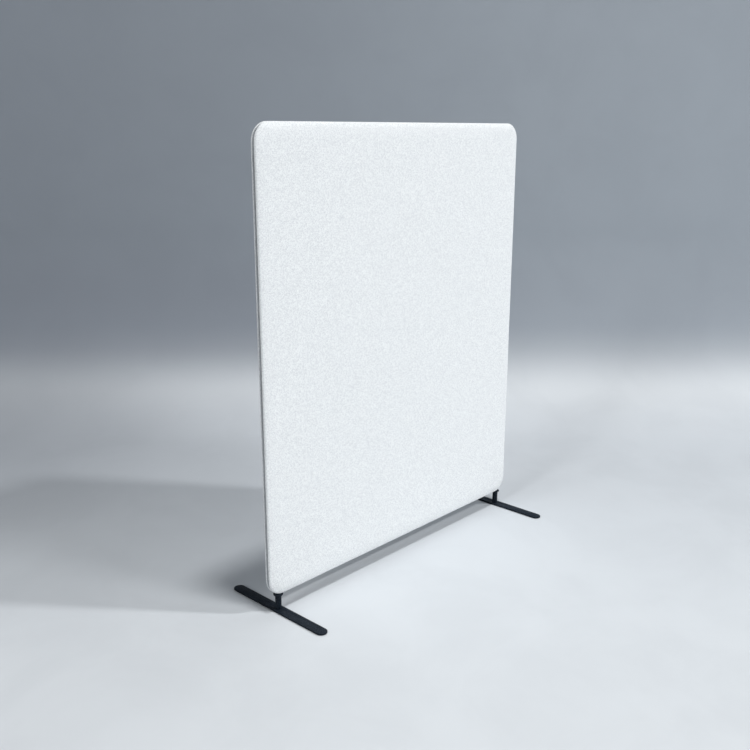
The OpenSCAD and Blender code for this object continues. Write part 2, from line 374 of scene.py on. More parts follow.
class EffectGroup:
    """A shader node group that several finishes use, made once with named inputs and outputs."""

    title: str = ""
    inputs: dict[str, str] = {}
    outputs: dict[str, str] = {"Colour": "Color", "Height": "Float"}

    def draw(self, nodes: Nodes, given: Sockets) -> Sockets:
        """Draws the group's inside.

        Args:
            nodes: The group's tree.
            given: The group's inputs, by name.

        Returns:
            A socket for each output, by name.
        """
        raise NotImplementedError

    def tree(self) -> bpy.types.NodeTree:
        """Makes the group, or finds it where it is made already.

        Returns:
            The group's node tree.
        """
        if self.title in bpy.data.node_groups:
            return bpy.data.node_groups[self.title]
        tree = bpy.data.node_groups.new(self.title, "ShaderNodeTree")
        for way, sockets in (("INPUT", self.inputs), ("OUTPUT", self.outputs)):
            for name, kind in sockets.items():
                tree.interface.new_socket(name, in_out=way, socket_type="NodeSocket" + kind)
        nodes = Nodes(tree)
        given = tree.nodes.new("NodeGroupInput")
        nodes.feed(tree.nodes.new("NodeGroupOutput"), **self.draw(nodes, given.outputs))
        return tree

    def place(self, nodes: Nodes, **values: object) -> Sockets:
        """Places the group in a material.

        Args:
            nodes: The material's tree.
            values: A socket or plain value for each input, with _ for each space in its name.

        Returns:
            The group's outputs, by name.
        """
        return nodes.feed(nodes.add("Group", node_tree=self.tree()), **values).outputs


class MelangeGroup(EffectGroup):
    """Wool of two shades felted together: faint soft mottle under short, bent, darker fibres."""

    title = "melange"
    inputs = {"Vector": "Vector", "Ground": "Color", "Fleck": "Color", "Mottle Scale": "Float",
              "Mottle Share": "Float", "Fibre Share": "Float"}

    def draw(self, nodes: Nodes, given: Sockets) -> Sockets:
        """Draws the mottle, the fibres and their height.

        Args:
            nodes: The group's tree.
            given: The group's inputs, by name.

        Returns:
            The colour and the height.
        """
        place = given["Vector"]
        mottle = nodes.noise(place, given["Mottle Scale"], 2.0, 0.8, 0.5)
        fibre = nodes.noise(place, 800.0, 3.0, 0.65, 2.4)
        soft = nodes.times(nodes.spread(mottle, 0.36, 0.64), given["Mottle Share"])
        hairs = nodes.times(nodes.spread(fibre, 0.42, 0.64), given["Fibre Share"])
        colour = nodes.blend(nodes.plus(soft, hairs), given["Ground"], given["Fleck"])
        return {"Colour": colour, "Height": nodes.plus(nodes.times(mottle, 0.6), fibre)}


class WeaveGroup(EffectGroup):
    """Narrow woven tape: warp and weft threads that cross, from the piece's own UV map."""

    title = "weave"
    inputs = {"Vector": "Vector", "Thread": "Color", "Shadow": "Color", "Threads": "Float"}

    def draw(self, nodes: Nodes, given: Sockets) -> Sockets:
        """Draws crossed waves with a little unevenness.

        Args:
            nodes: The group's tree.
            given: The group's inputs, by name.

        Returns:
            The colour and the height.
        """
        place = given["Vector"]
        waves = []
        for direction in ("X", "Y"):
            wave = nodes.add("TexWave", wave_type="BANDS", bands_direction=direction)
            nodes.feed(wave, Vector=place, Scale=given["Threads"], Distortion=0.6, Detail=1.0)
            waves.append(wave.outputs["Fac"])
        height = nodes.times(*waves)
        uneven = nodes.noise(place, 350.0, 3.0, 0.6)
        share = nodes.times(nodes.spread(height, 0.0, 0.6, 1.0, 0.0),
                            nodes.spread(uneven, 0.3, 0.7, 0.55, 1.0))
        return {"Colour": nodes.blend(share, given["Thread"], given["Shadow"]), "Height": height}


class GrainGroup(EffectGroup):
    """Sawn softwood: growth bands along the piece, fine pores and a few darker streaks."""

    title = "timber_grain"
    inputs = {"Vector": "Vector", "Early Wood": "Color", "Late Wood": "Color"}

    def draw(self, nodes: Nodes, given: Sockets) -> Sockets:
        """Draws the bands on a place whose X runs along the grain.

        Args:
            nodes: The group's tree.
            given: The group's inputs, by name.

        Returns:
            The colour and the height.
        """
        place = nodes.stretched(given["Vector"], (0.06, 1.0, 1.0))
        wave = nodes.feed(nodes.add("TexWave", wave_type="RINGS", rings_direction="X"),
                          Vector=place, Scale=55.0, Distortion=5.0, Detail=3.0, Detail_Scale=1.2)
        bands = wave.outputs["Fac"]
        fine = nodes.stretched(given["Vector"], (0.03, 1.0, 1.0))
        pores = nodes.noise(fine, 1400.0, 3.0, 0.7)
        streak = nodes.noise(place, 30.0, 3.0, 0.6)
        share = nodes.times(nodes.spread(bands, 0.2, 0.95),
                            nodes.spread(streak, 0.3, 0.75, 0.35, 1.0))
        share = nodes.plus(share, nodes.spread(pores, 0.5, 0.75, 0.0, 0.25))
        return {"Colour": nodes.blend(share, given["Early Wood"], given["Late Wood"]),
                "Height": nodes.maths("SUBTRACT", pores, nodes.times(bands, 0.4))}


class SpeckleGroup(EffectGroup):
    """Textured coat or cast skin: fine grains that change the colour, gloss and height."""

    title = "speckle"
    inputs = {"Vector": "Vector", "Body": "Color", "Speck": "Color", "Specks": "Float",
              "Gloss From": "Float", "Gloss To": "Float"}
    outputs = {"Colour": "Color", "Roughness": "Float", "Height": "Float"}

    def draw(self, nodes: Nodes, given: Sockets) -> Sockets:
        """Draws round grains that come and go with a finer cloud.

        Args:
            nodes: The group's tree.
            given: The group's inputs, by name.

        Returns:
            The colour, the roughness and the height.
        """
        place = given["Vector"]
        cells = nodes.feed(nodes.add("TexVoronoi", feature="SMOOTH_F1"), Vector=place,
                           Scale=given["Specks"], Smoothness=0.3)
        grains = cells.outputs["Distance"]
        cloud = nodes.noise(place, 300.0, 3.0, 0.65)
        share = nodes.times(nodes.spread(grains, 0.1, 0.5, 1.0, 0.1),
                            nodes.spread(cloud, 0.44, 0.6, 0.08, 1.0))
        gloss = nodes.feed(nodes.add("MapRange"), Value=nodes.spread(cloud, 0.3, 0.7),
                           To_Min=given["Gloss From"], To_Max=given["Gloss To"])
        return {"Colour": nodes.blend(share, given["Body"], given["Speck"]),
                "Roughness": gloss.outputs["Result"],
                "Height": nodes.plus(grains, nodes.times(cloud, 0.5))}


class WearGroup(EffectGroup):
    """Scuffs and settled dust: what handling and standing on a floor leave on a finish."""

    title = "scuffs_and_dust"
    inputs = {"Vector": "Vector", "Facing Up": "Float", "Colour": "Color", "Scuffed": "Color",
              "Roughness": "Float", "Amount": "Float"}
    outputs = {"Colour": "Color", "Roughness": "Float"}

    def draw(self, nodes: Nodes, given: Sockets) -> Sockets:
        """Draws thin scratches and, on what faces up, a thin patchy dust.

        Args:
            nodes: The group's tree.
            given: The group's inputs, by name.

        Returns:
            The worn colour and roughness.
        """
        place = given["Vector"]
        scratch = nodes.noise(nodes.stretched(place, (1.0, 0.12, 1.0)), 420.0, 2.0, 0.5, 1.5)
        patch = nodes.noise(place, 22.0, 3.0, 0.6)
        marks = nodes.times(nodes.spread(scratch, 0.64, 0.7), nodes.spread(patch, 0.5, 0.7))
        settled = nodes.spread(nodes.noise(place, 60.0, 5.0, 0.75), 0.38, 0.75)
        dust = nodes.times(nodes.times(settled, given["Facing Up"]), 0.35)
        share = nodes.times(nodes.plus(marks, dust), given["Amount"])
        return {"Colour": nodes.blend(share, given["Colour"], given["Scuffed"]),
                "Roughness": nodes.plus(given["Roughness"], nodes.times(share, 0.4))}


class FibreGroup(EffectGroup):
    """Fibres or open cells pressed into a slab, with lighter and darker fibres."""

    title = "pressed_fibres"
    inputs = {"Vector": "Vector", "Light Fibre": "Color", "Dark Fibre": "Color", "Cells": "Float"}

    def draw(self, nodes: Nodes, given: Sockets) -> Sockets:
        """Draws cells and long fibres over each other.

        Args:
            nodes: The group's tree.
            given: The group's inputs, by name.

        Returns:
            The colour and the height.
        """
        place = given["Vector"]
        voronoi = nodes.feed(nodes.add("TexVoronoi"), Vector=place, Scale=given["Cells"])
        cells = voronoi.outputs["Distance"]
        fibres = nodes.noise(nodes.stretched(place, (0.2, 1.0, 0.7)), 700.0, 4.0, 0.7, 2.0)
        share = nodes.times(nodes.spread(cells, 0.1, 0.7),
                            nodes.spread(fibres, 0.25, 0.8, 0.3, 1.0))
        return {"Colour": nodes.blend(share, given["Light Fibre"], given["Dark Fibre"]),
                "Height": nodes.plus(cells, fibres)}


@dataclass(frozen=True)
class Finish:
    """What every finish has: the record's slot, and the gloss of its shader."""

    slot: str
    roughness: float = 0.6
    metallic: float = 0.0
    specular: float = 0.5
    sheen: float = 0.0
    bump: float = 0.3
    relief: float = 0.0004

    @property
    def title(self) -> str:
        """Name of the finish's material."""
        return f"{self.slot}_finish"

    def material(self) -> bpy.types.Material:
        """Makes the finish's material, or finds it where it is made already.

        Returns:
            The material.
        """
        if self.title in bpy.data.materials:
            return bpy.data.materials[self.title]
        material = bpy.data.materials.new(self.title)
        material.use_nodes = True
        nodes = Nodes(material.node_tree)
        surface = self.surface(nodes)
        bump = nodes.feed(nodes.add("Bump"), Strength=self.bump, Distance=self.relief,
                          Height=surface.pop("Height"))
        shader = nodes.feed(nodes.add("BsdfPrincipled"), Roughness=self.roughness,
                            Metallic=self.metallic, Specular_IOR_Level=self.specular,
                            Sheen_Weight=self.sheen, Sheen_Roughness=0.5,
                            Normal=bump.outputs["Normal"])
        nodes.show(nodes.feed(shader, **surface).outputs["BSDF"])
        return material

    def surface(self, nodes: Nodes) -> Sockets:
        """Draws what changes over the surface.

        Args:
            nodes: The material's tree.

        Returns:
            Sockets by name: Base Color, Height, and Roughness where it changes.
        """
        raise NotImplementedError

    def dress(self, piece: Piece) -> None:
        """Gives a piece this finish.

        Args:
            piece: The object to dress.
        """
        piece.data.materials.clear()
        piece.data.materials.append(self.material())


@dataclass(frozen=True)
class FeltFinish(Finish):
    """Felted wool of two close shades."""

    ground: Colour = (0.93, 0.96, 0.96)
    fleck: Colour = (0.5, 0.52, 0.56)
    mottle_scale: float = 290.0
    mottle_share: float = 0.46
    fibre_share: float = 0.4

    def surface(self, nodes: Nodes) -> Sockets:
        """Draws the mottle and the fibres.

        Args:
            nodes: The material's tree.

        Returns:
            The colour and the height.
        """
        wool = MelangeGroup().place(nodes, Vector=nodes.here(), Ground=self.ground,
                                    Fleck=self.fleck, Mottle_Scale=self.mottle_scale,
                                    Mottle_Share=self.mottle_share, Fibre_Share=self.fibre_share)
        return {"Base Color": wool["Colour"], "Height": wool["Height"]}


@dataclass(frozen=True)
class TapeFinish(Finish):
    """Woven tape whose threads follow the piece's UV map."""

    thread: Colour = (0.62, 0.65, 0.68)
    shadow: Colour = (0.3, 0.32, 0.345)
    threads: float = 420.0

    def surface(self, nodes: Nodes) -> Sockets:
        """Draws the weave.

        Args:
            nodes: The material's tree.

        Returns:
            The colour and the height.
        """
        tape = WeaveGroup().place(nodes, Vector=nodes.add("UVMap", uv_map=EDGE_MAP).outputs["UV"],
                                  Thread=self.thread, Shadow=self.shadow, Threads=self.threads)
        return {"Base Color": tape["Colour"], "Height": tape["Height"]}


@dataclass(frozen=True)
class TimberFinish(Finish):
    """Sawn softwood with its grain along the piece."""

    early: Colour = (0.72, 0.54, 0.34)
    late: Colour = (0.50, 0.32, 0.16)
    grain: Grain = Grain.UPRIGHT

    @property
    def title(self) -> str:
        """Name of the finish's material, one for each direction of the grain."""
        return f"{self.slot}_{self.grain.name.lower()}_finish"

    def surface(self, nodes: Nodes) -> Sockets:
        """Draws the grain along the piece.

        Args:
            nodes: The material's tree.

        Returns:
            The colour and the height.
        """
        turned = nodes.feed(nodes.add("Mapping"), Vector=nodes.here(),
                            Rotation=(0.0, self.grain.value, 0.0))
        wood = GrainGroup().place(nodes, Vector=turned.outputs["Vector"], Early_Wood=self.early,
                                  Late_Wood=self.late)
        return {"Base Color": wood["Colour"], "Height": wood["Height"]}


@dataclass(frozen=True)
class PlyFinish(Finish):
    """Plywood: grain on its faces, and thin plies of two shades across its cut edges."""

    early: Colour = (0.68, 0.53, 0.35)
    late: Colour = (0.47, 0.33, 0.19)
    ply: float = 0.0018

    def surface(self, nodes: Nodes) -> Sockets:
        """Draws the plies over the grain.

        Args:
            nodes: The material's tree.

        Returns:
            The colour and the height.
        """
        place = nodes.here()
        wood = GrainGroup().place(nodes, Vector=place, Early_Wood=self.early, Late_Wood=self.late)
        plies = nodes.feed(nodes.add("TexWave", wave_type="BANDS", bands_direction="Y"),
                           Vector=place, Scale=WAVE_UNIT / self.ply, Distortion=0.4)
        side = nodes.maths("ABSOLUTE", nodes.facing("Y"))
        edge = nodes.times(nodes.spread(side, 0.3, 0.8, 0.55, 0.0),
                           nodes.spread(plies.outputs["Fac"], 0.35, 0.65))
        return {"Base Color": nodes.blend(edge, wood["Colour"], self.late),
                "Height": wood["Height"]}


@dataclass(frozen=True)
class FibreFinish(Finish):
    """Pressed fibres: the absorbent slabs and the wadding."""

    light: Colour = (0.52, 0.54, 0.57)
    dark: Colour = (0.26, 0.28, 0.31)
    cells: float = 450.0

    def surface(self, nodes: Nodes) -> Sockets:
        """Draws the fibres.

        Args:
            nodes: The material's tree.

        Returns:
            The colour and the height.
        """
        slab = FibreGroup().place(nodes, Vector=nodes.here(), Light_Fibre=self.light,
                                  Dark_Fibre=self.dark, Cells=self.cells)
        return {"Base Color": slab["Colour"], "Height": slab["Height"]}


@dataclass(frozen=True)
class CoatFinish(Finish):
    """Fine-textured coat, cast metal, rubber or moulded plastic, with scuffs and dust on it."""

    body: Colour = (0.005, 0.009, 0.015)
    speck: Colour = (0.092, 0.11, 0.136)
    scuffed: Colour = (0.22, 0.23, 0.25)
    specks: float = 700.0
    gloss: tuple[float, float] = (0.3, 0.55)
    wear: float = 0.06

    def surface(self, nodes: Nodes) -> Sockets:
        """Draws the grains, then the wear over them.

        Args:
            nodes: The material's tree.

        Returns:
            The worn colour and roughness, and the height.
        """
        place = nodes.here()
        coat = SpeckleGroup().place(nodes, Vector=place, Body=self.body, Speck=self.speck,
                                    Specks=self.specks, Gloss_From=self.gloss[0],
                                    Gloss_To=self.gloss[1])
        level = nodes.spread(nodes.facing("Z"), 0.4, 0.95)
        worn = WearGroup().place(nodes, Vector=place, Facing_Up=level, Colour=coat["Colour"],
                                 Scuffed=self.scuffed, Roughness=coat["Roughness"],
                                 Amount=self.wear)
        return {"Base Color": worn["Colour"], "Roughness": worn["Roughness"],
                "Height": coat["Height"]}


FELT = FeltFinish("felt_fabric", roughness=0.95, sheen=0.12, bump=0.5, relief=0.0006)
SEAM_TAPE = TapeFinish("seam_tape", roughness=0.9, bump=0.6, relief=0.0003,
                       thread=(0.44, 0.47, 0.5), shadow=(0.2, 0.22, 0.25))
ZIP_TAPE = TapeFinish("zip_tape", roughness=0.9, bump=0.6, relief=0.0003)
ZIP_COIL = CoatFinish("zip_coil", body=(0.5, 0.53, 0.56), speck=(0.58, 0.61, 0.64),
                      scuffed=(0.62, 0.64, 0.66), specks=1100.0, gloss=(0.35, 0.5), bump=0.1)
ZIP_METAL = CoatFinish("zip_metal", metallic=1.0, body=(0.55, 0.56, 0.58),
                       speck=(0.46, 0.47, 0.49), scuffed=(0.36, 0.36, 0.37), specks=1800.0,
                       gloss=(0.22, 0.38), bump=0.08, wear=0.5)
RAIL_TIMBER = TimberFinish("timber", roughness=0.75, bump=0.35, grain=Grain.ACROSS)
STILE_TIMBER = TimberFinish("timber", roughness=0.75, bump=0.35)
BLOCK_BOARD = PlyFinish("block_board", roughness=0.75)
DOWEL_WOOD = TimberFinish("dowel_wood", roughness=0.7, early=(0.76, 0.62, 0.43),
                          late=(0.6, 0.45, 0.28))
ABSORBER = FibreFinish("absorber", roughness=0.98, bump=0.8, relief=0.001)
WADDING = FibreFinish("wadding", roughness=0.98, bump=0.7, relief=0.001,
                      light=(0.9, 0.9, 0.89), dark=(0.74, 0.75, 0.76), cells=280.0)
INSERT_METAL = CoatFinish("insert_metal", metallic=1.0, body=(0.72, 0.6, 0.36),
                          speck=(0.62, 0.5, 0.3), scuffed=(0.4, 0.34, 0.24), specks=1500.0,
                          gloss=(0.28, 0.45), bump=0.1, wear=0.5)
BOLT_STEEL = CoatFinish("bolt_steel", metallic=1.0, body=(0.15, 0.155, 0.165),
                        speck=(0.2, 0.2, 0.21), scuffed=(0.45, 0.45, 0.46), specks=1500.0,
                        gloss=(0.3, 0.5), bump=0.1, wear=0.4)
BLACK_COATING = CoatFinish("black_coating", specular=0.05, bump=0.4, relief=0.00025, specks=1000.0)
PAD_RUBBER = CoatFinish("pad_rubber", body=(0.04, 0.04, 0.043), speck=(0.06, 0.06, 0.063),
                        scuffed=(0.3, 0.3, 0.29), gloss=(0.7, 0.85), bump=0.4, wear=0.6)


def triangles(piece: Piece) -> int:
    """Counts a piece's triangles as it is shown, modifiers included.

    Args:
        piece: The object to count.

    Returns:
        The number of triangles.
    """
    shown = piece.evaluated_get(bpy.context.evaluated_depsgraph_get())
    return sum(len(face.vertices) - 2 for face in shown.data.polygons)


def as_object(bm: BMesh, name: str, smooth: float = SHEET_SMOOTH) -> Piece:
    """Turns a bmesh into a finished object at the origin.

    Args:
        bm: The shape, which is freed.
        name: The piece's name.
        smooth: Angle in degrees below which edges are shaded smooth.

    Returns:
        The new object.
    """
    mesh = bpy.data.meshes.new(name)
    bm.to_mesh(mesh)
    bm.free()
    piece = bpy.data.objects.new(name, mesh)
    bpy.context.scene.collection.objects.link(piece)
    mesh.shade_smooth()
    mesh.set_sharp_from_angle(angle=math.radians(smooth))
    return piece


def thicken(piece: Piece, thickness: float) -> None:
    """Gives a sheet its thickness, inwards from the side that shows.

    Args:
        piece: The sheet.
        thickness: The thickness in metres.
    """
    solid = piece.modifiers.new("thickness", "SOLIDIFY")
    solid.thickness = thickness
    solid.offset = -1.0
    solid.use_even_offset = True


def softened(node: str, name: str, radius: float, segments: int = 2) -> Piece:
    """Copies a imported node's mesh, merges its triangles and rounds its hard edges a little.

    Args:
        node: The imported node.
        name: Name of the new piece.
        radius: Radius of the rounded edges in metres.
        segments: Faces across a rounded edge.

    Returns:
        The new object, which stands for the node.
    """
    bm = bmesh.new()
    bm.from_mesh(frame["nodes"][node].data)
    bmesh.ops.remove_doubles(bm, verts=bm.verts, dist=SAME_POINT)
    bmesh.ops.dissolve_limit(bm, angle_limit=math.radians(FLAT_ANGLE), verts=bm.verts, edges=bm.edges)
    hard = [edge for edge in bm.edges
            if len(edge.link_faces) == 2 and edge.calc_face_angle(0.0) > math.radians(HARD_ANGLE)]
    bmesh.ops.bevel(bm, geom=hard, offset=radius, offset_type="OFFSET", segments=segments,
                    profile=0.5, affect="EDGES", material=-1, clamp_overlap=True)
    bmesh.ops.recalc_face_normals(bm, faces=bm.faces)
    piece = as_object(bm, name, PART_SMOOTH)
    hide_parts(node)
    return piece


def whole(bm: BMesh) -> list[object]:
    """All points, edges and faces of a mesh, as an operator takes them."""
    return [*bm.verts, *bm.edges, *bm.faces]


def divide(bm: BMesh, point: Triple, way: Triple) -> None:
    """Divides the faces of a mesh along a plane.

    Args:
        bm: The mesh.
        point: A point of the plane.
        way: The direction square to it.
    """
    bmesh.ops.bisect_plane(bm, geom=whole(bm), dist=SAME_POINT, plane_co=point, plane_no=way)


class SectionLine:
    """A section of the panel's edge, drawn as one line of edges from the inside outwards."""

    def __init__(self, bm: BMesh, start: Vector) -> None:
        """Starts the line.

        Args:
            bm: The mesh to draw in.
            start: The first point.
        """
        self.bm = bm
        self.tip = bm.verts.new(start)

    def run(self, by: Vector, steps: int = 1) -> None:
        """Draws straight on.

        Args:
            by: Where the line's end lies from its tip.
            steps: Edges along it.
        """
        for _ in range(steps):
            made = bmesh.ops.extrude_vert_indiv(self.bm, verts=[self.tip])
            self.tip = made["verts"][0]
            bmesh.ops.translate(self.bm, verts=[self.tip], vec=by / steps)

    def bend(self, centre: Vector, angle: float, steps: int, swell: float = 0.0) -> None:
        """Draws on round a centre.

        Args:
            centre: The centre of the bend.
            angle: The angle in degrees, with its sign about Z.
            steps: Edges along it.
            swell: How much the bend's radius grows along it.
        """
        out = (self.tip.co - centre).normalized() * swell / steps
        made = bmesh.ops.spin(self.bm, geom=[self.tip], cent=centre, axis=UP, dvec=out,
                              angle=math.radians(angle), steps=steps)
        self.tip = next(part for part in made["geom_last"] if isinstance(part, BMVert))

    def round_off(self, middle: Vector, steps: tuple[int, int, int], end: float,
                  swell: float = 0.0) -> None:
        """Draws the face's margin, its slow crown and its tighter turn.

        Args:
            middle: The corner's centre.
            steps: Edges along the margin, the crown and the turn.
            end: Angle from the face at which the turn ends, in degrees.
            swell: How much the turn's radius grows along it.
        """
        margin = PANEL.corner - PANEL.crown
        self.run(Vector((margin, 0, 0)), steps[0])
        crown = middle + Vector((margin, PANEL.crown_radius - PANEL.thickness / 2, 0))
        self.bend(crown, PANEL.crown_angle, steps[1])
        turn = middle + Vector((PANEL.corner - PANEL.turn, -PANEL.roll_y, 0))
        self.bend(turn, end - PANEL.crown_angle, steps[2], swell)


@dataclass(frozen=True)
class EdgeSweep:
    """Takes a section, or a small repeated shape, along a stretch of the panel's edge.

    Attributes:
        tour: The stretch.
        pitch: Distance between steps along the straights, in metres.
        turn_steps: Steps of a section round a corner.
        block: Copies of a repeated shape that are made at once.
    """

    tour: Tour
    pitch: float
    turn_steps: int = 12
    block: int = 24

    @property
    def turn(self) -> float:
        """Angle about Y that the stretch takes at each corner."""
        return -math.pi / 2 if self.tour is Tour.ZIP else math.pi / 2

    @property
    def start(self) -> Vector:
        """Where the section's origin, the corner's centre, stands at the start."""
        height = PANEL.high if self.tour is Tour.WHOLE else PANEL.zip_low
        return Vector((PANEL.corner_x, 0.0, height))

    def legs(self) -> list[tuple[Vector, float, Vector | None]]:
        """The straights in order.

        Returns:
            For each, its direction, its length, and the corner's centre at its end, if it turns.
        """
        x = PANEL.corner_x
        rise = PANEL.high - PANEL.low
        low_right, low_left = Vector((x, 0, PANEL.low)), Vector((-x, 0, PANEL.low))
        top_right, top_left = Vector((x, 0, PANEL.high)), Vector((-x, 0, PANEL.high))
        if self.tour is Tour.ZIP:
            run = PANEL.high - PANEL.zip_low
            return [(UP, run, top_right), (-RIGHT, 2 * x, top_left), (-UP, run, None)]
        if self.tour is Tour.SEAM:
            lap = PANEL.seam_lap
            return [(-UP, lap, low_right), (-RIGHT, 2 * x, low_left), (UP, lap, None)]
        return [(-UP, rise, low_right), (-RIGHT, 2 * x, low_left),
                (UP, rise, top_left), (RIGHT, 2 * x, top_right)]

    def take(self, bm: BMesh) -> None:
        """Draws a section along the stretch.

        Args:
            bm: The mesh that holds the section and nothing else.
        """
        geometry = whole(bm)
        for direction, length, centre in self.legs():
            steps = max(1, round(length / self.pitch))
            made = bmesh.ops.spin(bm, geom=geometry, axis=DEPTH_AXIS, angle=0.0, steps=steps,
                                  dvec=direction * length / steps)
            if centre is not None:
                made = bmesh.ops.spin(bm, geom=made["geom_last"], cent=centre, axis=DEPTH_AXIS,
                                      angle=self.turn, steps=self.turn_steps)
            geometry = made["geom_last"]

    def repeat(self, seed: BMesh, radius: float) -> BMesh:
        """Copies a small shape at every pitch, in blocks, which is quicker than one long row.

        Args:
            seed: The shape at the start of the stretch, which is freed.
            radius: Radius at which the pitch is kept round the corners.

        Returns:
            All the copies.
        """
        shape = bpy.data.meshes.new("repeated_shape")
        seed.to_mesh(shape)
        seed.free()
        copies = bmesh.new()
        place = Matrix.Identity(4)
        in_turn = round(radius * math.pi / 2 / self.pitch)
        for direction, length, centre in self.legs():
            blocks = max(1, round(length / self.pitch / self.block))
            step = direction * length / (blocks * self.block)
            self.add_row(copies, shape, place,
                         [(step, 0.0, self.block), (step * self.block, 0.0, blocks)])
            place = Matrix.Translation(direction * length) @ place
            if centre is not None:
                self.add_row(copies, shape, place, [(centre, self.turn / in_turn, in_turn)])
                about = Matrix.Translation(centre)
                place = about @ Matrix.Rotation(self.turn, 4, "Y") @ about.inverted() @ place
        bpy.data.meshes.remove(shape)
        return copies

    @staticmethod
    def add_row(copies: BMesh, shape: bpy.types.Mesh, place: Matrix,
                rounds: list[tuple[Vector, float, int]]) -> None:
        """Adds one row of copies, straight or round a corner.

        Args:
            copies: The mesh that the row goes into.
            shape: The shape.
            place: Where the row starts, from the shape's own place.
            rounds: For each round of copying, the step or the corner's centre, the angle of a step
                or none, and the number of copies that there are after it.
        """
        row = bmesh.new()
        row.from_mesh(shape)
        row.transform(place)
        for by, angle, count in rounds:
            if count > 1:
                way = {"cent": by} if angle else {"dvec": by}
                bmesh.ops.spin(row, geom=whole(row), axis=DEPTH_AXIS, angle=angle * (count - 1),
                               steps=count - 1, use_duplicate=True, **way)
        made = bpy.data.meshes.new("row_of_shapes")
        row.to_mesh(made)
        row.free()
        copies.from_mesh(made)
        bpy.data.meshes.remove(made)


def along_edge(point: Vector) -> float:
    """Distance of a point along the panel's edge, clockwise from the middle of its right side.

    Args:
        point: A point near the edge.

    Returns:
        The distance in metres, at the depth of the zip.
    """
    half_width, half_rise = PANEL.corner_x, (PANEL.high - PANEL.low) / 2
    radius = PANEL.corner - PANEL.zip_depth
    across, up = point.x, point.z - (PANEL.high + PANEL.low) / 2
    quarter = half_rise + radius * math.pi / 2 + half_width
    if abs(up) <= half_rise:
        return -up if across > 0 else 2 * quarter + up
    if abs(across) <= half_width:
        return quarter - across if up < 0 else 3 * quarter + across
    arc = math.atan2(abs(up) - half_rise, abs(across) - half_width) * radius
    run = half_rise + arc if up < 0 else -half_rise - arc
    return run if across > 0 else 2 * quarter - run


def open_for_feet(bm: BMesh) -> None:
    """Cuts a sheet where the feet's spigots come up through it.

    Args:
        bm: The sheet.
    """
    half = PANEL.spigot / 2
    for hand in Hand:
        for edge in (-half, half):
            divide(bm, (hand.value * PANEL.foot_x + edge, 0, 0), RIGHT)
    cut = []
    for face in bm.faces:
        centre = face.calc_center_median()
        near = abs(abs(centre.x) - PANEL.foot_x) < half and abs(centre.y) < half
        if near and centre.z < PANEL.low:
            cut.append(face)
    bmesh.ops.delete(bm, geom=cut, context="FACES")


def fill_face(bm: BMesh, cell: float, y: float) -> None:
    """Fills the middle of a sheet whose rim is there already, with a grid that meets the rim.

    Args:
        bm: The sheet.
        cell: Size of the grid's cells.
        y: Where the grid stands.
    """
    rise = PANEL.high - PANEL.low
    place = (Matrix.Translation((0, y, (PANEL.high + PANEL.low) / 2))
             @ Matrix.Rotation(math.pi / 2, 4, "X")
             @ Matrix.Diagonal((PANEL.corner_x, rise / 2, 1, 1)))
    bmesh.ops.create_grid(bm, x_segments=round(2 * PANEL.corner_x / cell),
                          y_segments=round(rise / cell), size=1.0, matrix=place)
    bmesh.ops.remove_doubles(bm, verts=bm.verts, dist=RIM_POINT)


def face_out(bm: BMesh, way: Vector) -> None:
    """Turns an open sheet's faces to one side.

    Args:
        bm: The sheet.
        way: The direction that the face furthest along it has to look in.
    """
    bmesh.ops.recalc_face_normals(bm, faces=bm.faces)
    furthest = max(bm.faces, key=lambda face: face.calc_center_median().dot(way))
    if furthest.normal.dot(way) < 0:
        bmesh.ops.reverse_faces(bm, faces=bm.faces)


def side_sheet(bm: BMesh, side: Side, name: str) -> Piece:
    """Makes a piece for either side from a sheet that is drawn for the front.

    Args:
        bm: The sheet, which is freed.
        side: The side that the piece is for.
        name: The piece's name.

    Returns:
        The piece.
    """
    if side is Side.BACK:
        bmesh.ops.scale(bm, verts=bm.verts, vec=(1, -1, 1))
    face_out(bm, Vector((0, side.value, 0)))
    return as_object(bm, name)


def map_along_edge(bm: BMesh) -> None:
    """Gives a strip a UV map in metres: along the panel's edge, and across it.

    Args:
        bm: The strip.
    """
    layer = bm.loops.layers.uv.new(EDGE_MAP)
    for face in bm.faces:
        runs = [along_edge(loop.vert.co) for loop in face.loops]
        last = max(runs)
        for loop, run in zip(face.loops, runs):
            past_the_start = run < last - 1.0
            loop[layer].uv = (last if past_the_start else run, loop.vert.co.y)


def edge_tape(name: str, tour: Tour, start: float, width: float, steps: int) -> Piece:
    """Builds a tape along a stretch of the edge, at the depth of the lips' ends.

    Args:
        name: The piece's name.
        tour: The stretch.
        start: Where across the edge the tape starts.
        width: The tape's width, with its sign along Y.
        steps: Faces across it.

    Returns:
        The piece.
    """
    bm = bmesh.new()
    sweep = EdgeSweep(tour, TAPE_STEP)
    line = SectionLine(bm, sweep.start + Vector((PANEL.corner - PANEL.lip_depth, start, 0)))
    line.run(Vector((0, width, 0)), steps)
    sweep.take(bm)
    if tour is Tour.SEAM:
        open_for_feet(bm)
    face_out(bm, -UP if tour is Tour.SEAM else RIGHT)
    map_along_edge(bm)
    tape = as_object(bm, name)
    thicken(tape, PANEL.tape)
    return tape


@dataclass
class Assembly:
    """A sub-assembly of the screen, with the new pieces that it has made."""

    pieces: list[Piece] = field(default_factory=list, init=False)

    def keep(self, piece: Piece, finish: Finish, body: str = "panel") -> Piece:
        """Dresses a new piece, sets it on its body and lists it.

        Args:
            piece: The piece.
            finish: Its finish.
            body: The body that it rides on.

        Returns:
            The same piece.
        """
        finish.dress(piece)
        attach(piece, body)
        self.pieces.append(piece)
        return piece

    def build(self) -> None:
        """Builds and dresses the sub-assembly."""
        raise NotImplementedError


